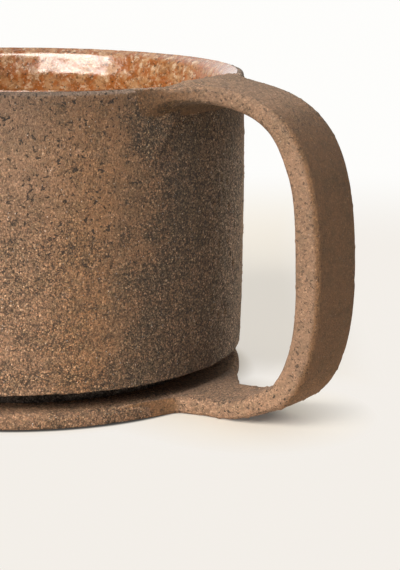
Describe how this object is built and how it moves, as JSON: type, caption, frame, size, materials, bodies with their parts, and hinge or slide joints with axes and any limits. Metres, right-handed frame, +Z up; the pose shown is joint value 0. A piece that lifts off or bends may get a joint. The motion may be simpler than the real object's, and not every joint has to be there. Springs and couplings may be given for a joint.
{
  "type": "coffee cup",
  "caption": "Handmade stoneware coffee cup: straight wall on a recessed neck and base disc, flat strap handle rising from the disc to the lip, glazed inside.",
  "frame": {"origin": "centre of the base disc's underside, on the table", "axes": "+X from the cup's axis towards the handle, +Z up"},
  "size_m": [0.1279, 0.0968, 0.0666],
  "materials": {
    "brown_stoneware": "coarse unglazed brown stoneware, matte, with dark specks, pale grains and small pits",
    "mottled_glaze": "glossy mottled orange-brown and white glaze with dark specks"
  },
  "bodies": {
    "root": {"base_disc": "brown_stoneware", "neck_slab": "brown_stoneware", "cup_floor": "brown_stoneware", "cup_wall": "brown_stoneware", "floor_seam_coil": "brown_stoneware", "handle_strap": "brown_stoneware", "upper_root_coil": "brown_stoneware", "lower_root_coil_left": "brown_stoneware", "lower_root_coil_right": "brown_stoneware", "inner_glaze": "mottled_glaze"}
  },
  "joints": []
}
